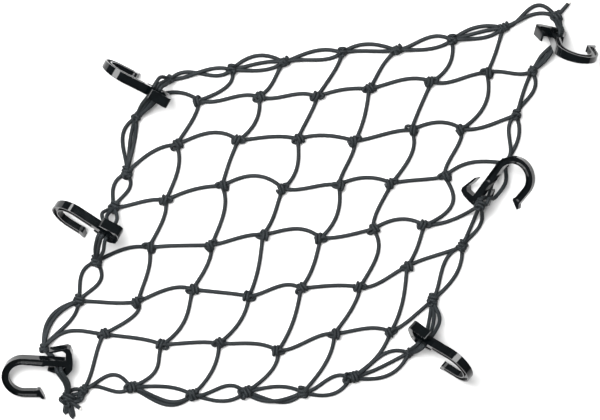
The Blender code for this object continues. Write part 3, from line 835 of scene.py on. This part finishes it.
def hook_mesh():
    """One moulded hook with rounded edges, in its own plane."""
    outline = rounded(hook_outline(HOOK_BEND_STEPS), OUTLINE_ROUNDING)
    body = slab("hook_body", outline, HOOK_WIDTH / 2)
    channel = rounded(channel_outline(), CHANNEL_ROUNDING)
    centre = (TAIL_END_S - DIMPLE_INSET, (HOOK_OUTER + HOOK_INNER) / 2)
    dimple = arc(centre, DIMPLE_RADIUS, 0, 360 - 360 / DIMPLE_SIDES, DIMPLE_SIDES - 1)
    cutters = []
    for side in (-1, 1):
        z = side * HOOK_WIDTH / 2
        cutters.append(slab("channel", channel, CHANNEL_DEPTH, z))
        cutters.append(slab("dimple", dimple, DIMPLE_DEPTH, z))
    for cutter in cutters:
        modifier = body.modifiers.new("cut", "BOOLEAN")
        modifier.operation = "DIFFERENCE"
        modifier.solver = "EXACT"
        modifier.object = cutter
    shaped = frozen(body, "hook_shape")
    for vert in shaped.data.vertices:
        vert.co.z *= widened(vert.co.y)
    for cutter in cutters:
        bpy.data.objects.remove(cutter, do_unlink=True)
    shaped.data.shade_smooth()
    bevel = shaped.modifiers.new("edges", "BEVEL")
    bevel.width = HOOK_ROUNDING
    bevel.segments = HOOK_ROUNDING_STEPS
    bevel.limit_method = "ANGLE"
    bevel.angle_limit = math.radians(HOOK_SHARP_ANGLE)
    bevel.use_clamp_overlap = True
    normals = shaped.modifiers.new("normals", "WEIGHTED_NORMAL")
    normals.mode = "FACE_AREA"
    normals.keep_sharp = False
    smooth = frozen(shaped, "hook_rounded")
    mesh = smooth.data
    bpy.data.objects.remove(smooth, do_unlink=True)
    return mesh


# ---------------------------------------------------------------- materials


def node(tree, kind, **settings):
    """A new shader node with the given settings."""
    made = tree.nodes.new(kind)
    for name, value in settings.items():
        setattr(made, name, value)
    return made


def maths(tree, operation, a, b=None):
    """The result of a sum on numbers or on other nodes' results."""
    made = node(tree, "ShaderNodeMath", operation=operation)
    for socket, value in zip(made.inputs, (a, b)):
        if value is None:
            continue
        if isinstance(value, (int, float)):
            socket.default_value = value
        else:
            tree.links.new(value, socket)
    return made.outputs[0]


def scaled(tree, value, factor, offset=0.0):
    """A node's result times a factor, plus an offset."""
    product = maths(tree, "MULTIPLY", value, factor)
    return maths(tree, "ADD", offset, product) if offset else product


def principled(name):
    """A new material with its node tree and its shader."""
    made = bpy.data.materials.new(name)
    made.use_nodes = True
    tree = made.node_tree
    return made, tree, tree.nodes["Principled BSDF"]


def noise(tree, scale, detail):
    """Noise in the object's own coordinates."""
    coordinates = node(tree, "ShaderNodeTexCoord")
    made = node(tree, "ShaderNodeTexNoise")
    made.inputs["Scale"].default_value = scale
    made.inputs["Detail"].default_value = detail
    tree.links.new(coordinates.outputs["Object"], made.inputs["Vector"])
    return made.outputs[0]


def colour_by(tree, shader, factor, stops):
    """Colours the shader by a ramp along the factor."""
    ramp = node(tree, "ShaderNodeValToRGB")
    elements = ramp.color_ramp.elements
    while len(elements) < len(stops):
        elements.new(0.5)
    for element, (position, colour) in zip(elements, stops):
        element.position = position
        element.color = colour
    tree.links.new(factor, ramp.inputs[0])
    tree.links.new(ramp.outputs[0], shader.inputs["Base Color"])


def relief(tree, shader, height, strength, distance):
    """Gives the shader a bump by the height."""
    bump = node(tree, "ShaderNodeBump")
    bump.inputs["Strength"].default_value = strength
    bump.inputs["Distance"].default_value = distance
    tree.links.new(height, bump.inputs["Height"])
    tree.links.new(bump.outputs[0], shader.inputs["Normal"])


def braid_height(tree):
    """Height of the braid: two families of yarns that pass over and under each other."""
    uv = node(tree, "ShaderNodeUVMap", uv_map="braid")
    split = node(tree, "ShaderNodeSeparateXYZ")
    tree.links.new(uv.outputs[0], split.inputs[0])
    right = maths(tree, "ADD", split.outputs[0], split.outputs[1])
    left = maths(tree, "SUBTRACT", split.outputs[0], split.outputs[1])
    yarns = []
    for family in (right, left):
        wave = maths(tree, "SINE", maths(tree, "MULTIPLY", family, math.pi))
        yarns.append(maths(tree, "ABSOLUTE", wave))
    parity = maths(tree, "ADD", maths(tree, "FLOOR", right), maths(tree, "FLOOR", left))
    over = maths(tree, "PINGPONG", parity, 1.0)
    first = maths(tree, "MULTIPLY", yarns[0], over)
    second = maths(tree, "MULTIPLY", yarns[1], maths(tree, "SUBTRACT", 1.0, over))
    return maths(tree, "ADD", first, second)


def cord_material(name):
    """Braided elastic cord: yarns over and under, with painted shade in the gaps between them
    and a few paler fibres.
    """
    made, tree, shader = principled(name)
    braid = braid_height(tree)
    fibres = noise(tree, scale=2600.0, detail=3.0)
    patches = noise(tree, scale=60.0, detail=2.0)
    # Painted shade: darker where the yarns dip under each other, lighter on their crowns, with
    # random tone from fibres and patches
    shade = maths(tree, "ADD", scaled(tree, braid, 0.66), scaled(tree, fibres, 0.30))
    shade = maths(tree, "ADD", shade, scaled(tree, patches, 0.14))
    colour_by(tree, shader, shade, YARN_AND_PAINTED_SHADE_COLOURS)
    tree.links.new(scaled(tree, fibres, 0.22, offset=0.42), shader.inputs["Roughness"])
    shader.inputs["Specular IOR Level"].default_value = 0.07
    height = maths(tree, "ADD", braid, scaled(tree, fibres, 0.35))
    relief(tree, shader, height, strength=0.75, distance=0.00028)
    return made


def plastic_material():
    """Black moulded nylon: glossy, with a faint flow in the gloss and fine scuffs."""
    made, tree, shader = principled("hook_plastic")
    flow = noise(tree, scale=90.0, detail=4.0)
    scuffs = noise(tree, scale=700.0, detail=5.0)
    colour_by(tree, shader, flow, PLASTIC_COLOURS)
    tree.links.new(scaled(tree, flow, 0.05, offset=0.03), shader.inputs["Roughness"])
    shader.inputs["Specular IOR Level"].default_value = 0.35
    relief(tree, shader, scuffs, strength=0.04, distance=0.0001)
    return made


def core_material():
    """The core at a cut end: pale rubber threads, with painted shade in the gaps between them.
    """
    made, tree, shader = principled("cord_core")
    coordinates = node(tree, "ShaderNodeTexCoord")
    threads = node(tree, "ShaderNodeTexVoronoi")
    threads.inputs["Scale"].default_value = 1900.0
    tree.links.new(coordinates.outputs["Object"], threads.inputs["Vector"])
    colour_by(tree, shader, threads.outputs["Distance"], CORE_AND_PAINTED_SHADE_COLOURS)
    shader.inputs["Roughness"].default_value = 0.6
    return made


def floor_material():
    """The plain matt surface that the net lies on."""
    made, _, shader = principled("floor")
    shader.inputs["Base Color"].default_value = FLOOR_COLOUR
    shader.inputs["Roughness"].default_value = 0.9
    shader.inputs["Specular IOR Level"].default_value = 0.2
    return made


# ---------------------------------------------------------------- scene


def sweep_cut_end(builder, knot, tip):
    """Adds a short free end of cord, and returns the direction that it points in."""
    middle = knot + (tip - knot) * TAIL_SAG_AT
    middle.z = max(CORD_LOW, (knot.z + tip.z) / 2 - TAIL_SAG)
    builder.sweep(smooth_path([knot, middle, tip], TAIL_STEP))
    return (tip - knot).normalized()


def core_piece(name, ends, made_of):
    """Pale cores that stand out of the cut ends, frayed round the rim."""
    work = bmesh.new()
    for tip, along, proud in ends:
        turn = along.to_track_quat("Z", "Y").to_matrix().to_4x4()
        made = bmesh.ops.create_cone(
            work,
            cap_ends=True,
            segments=CORE_SIDES,
            radius1=CORE_RADIUS,
            radius2=CORE_RADIUS * CORE_TIP_SHARE,
            depth=proud + CORE_SUNK,
            matrix=Matrix.Translation(tip + along * (proud - CORE_SUNK) / 2) @ turn,
        )
        rim = [v for v in made["verts"] if (v.co - tip).dot(along) > 0]
        for i, vert in enumerate(rim):
            vert.co += along * FRAY * math.sin(FRAY_TURN * i)
    mesh = bpy.data.meshes.new(name)
    work.to_mesh(mesh)
    work.free()
    mesh.materials.append(made_of)
    return add_object(name, mesh)


def add_soft_box(name, azimuth, elevation, distance, width, height, power):
    """An evenly bright rectangle that faces the origin."""
    light = bpy.data.lights.new(name, "AREA")
    light.shape = "RECTANGLE"
    light.size = width
    light.size_y = height
    light.energy = power
    obj = add_object(name, light)
    turn = math.radians(azimuth)
    rise = math.radians(elevation)
    away = Vector(
        (math.cos(rise) * math.cos(turn), math.cos(rise) * math.sin(turn), math.sin(rise))
    )
    obj.location = away * distance
    obj.rotation_euler = away.to_track_quat("Z", "Y").to_euler()


def add_camera():
    """The picture's camera, straight above its centre."""
    camera = bpy.data.cameras.new("camera")
    camera.sensor_width = SENSOR_WIDTH
    camera.lens = SENSOR_WIDTH * CAMERA_DISTANCE / (PICTURE_WIDTH_PX * PIXEL)
    camera.clip_end = CAMERA_REACH
    obj = add_object("camera", camera)
    obj.location = place(*PICTURE_CENTRE_PX, CAMERA_DISTANCE)
    bpy.context.scene.camera = obj


def add_stage():
    """Floor, even light from all round and the soft boxes."""
    mesh = bpy.data.meshes.new("floor")
    signs = ((-1, -1), (1, -1), (1, 1), (-1, 1))
    corners = [(x * FLOOR_HALF, y * FLOOR_HALF, 0) for x, y in signs]
    mesh.from_pydata(corners, [], [(0, 1, 2, 3)])
    mesh.materials.append(floor_material())
    floor = add_object("floor", mesh)
    world = bpy.data.worlds.new("studio")
    world.use_nodes = True
    background = world.node_tree.nodes["Background"]
    background.inputs["Color"].default_value = (1.0, 1.0, 1.0, 1.0)
    background.inputs["Strength"].default_value = WORLD_LIGHT
    bpy.context.scene.world = world
    bpy.context.scene.view_settings.view_transform = "Standard"
    for row in SOFT_BOXES:
        add_soft_box(*row)


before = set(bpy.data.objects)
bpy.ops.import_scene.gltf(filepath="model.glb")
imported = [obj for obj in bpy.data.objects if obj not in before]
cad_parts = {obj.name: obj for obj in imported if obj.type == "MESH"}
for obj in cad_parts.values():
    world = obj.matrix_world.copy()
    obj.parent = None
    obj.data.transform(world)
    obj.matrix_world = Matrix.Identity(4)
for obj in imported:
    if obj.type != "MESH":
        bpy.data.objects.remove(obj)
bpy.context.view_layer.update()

frames = {name: hook_frame(row) for name, row in HOOKS.items()}
chance = random.Random(7)

net = Builder()
for path in net_paths():
    net.sweep(path)
for row in range(len(NET_KNOTS_PX)):
    for column in range(len(NET_KNOTS_PX[row])):
        spot = net_knot_spot(row, column)
        turned = 1 if (row + column) % 2 else -1
        swing = chance.choice((-1, 1)) * chance.uniform(*NET_KNOT_SWING)
        wind_net_knot(net, spot, net_knot_heading(row, column), turned, swing)
net_piece = net.piece("net_of_cord", cord_material("net_cord"))
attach(net_piece, "root")
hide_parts("net_mesh")

edge = Builder()
for strand in edge_strands(frames):
    edge.sweep(strand)
knot_rows = edge_knot_rows()
for i, (centre, heading, size) in enumerate(knot_rows.values()):
    turned = 1 if i % 2 else -1
    wind_edge_knot(edge, centre, heading, size, turned, chance.uniform(0, 2 * math.pi))
ends = []
for knot, x_px, y_px, z, proud in CORD_TAILS:
    tip = place(x_px, y_px, z)
    ends.append((tip, sweep_cut_end(edge, knot_rows[knot][0], tip), proud))
corner = knot_rows["corner"][0]
back = corner + Vector((BIGHT_WIDTH, 0, 0))
for first, second in CORNER_BIGHTS:
    tips = [place(*first, CORD_LOW), place(*second, CORD_LOW)]
    edge.sweep(smooth_path([corner, *tips, back], BIGHT_STEP))
edge_piece = edge.piece("edge_cord_wound", cord_material("edge_cord"))
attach(edge_piece, "root")
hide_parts("edge_cord")
core_ends = core_piece("cut_ends", ends, core_material())
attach(core_ends, "root")

shape = hook_mesh()
shape.materials.clear()
shape.materials.append(plastic_material())
for name, hook_place in frames.items():
    placed = shape.copy()
    placed.transform(hook_place)
    hook = add_object("moulded_" + name, placed)
    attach(hook, "root")
    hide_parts(name)

add_stage()
add_camera()
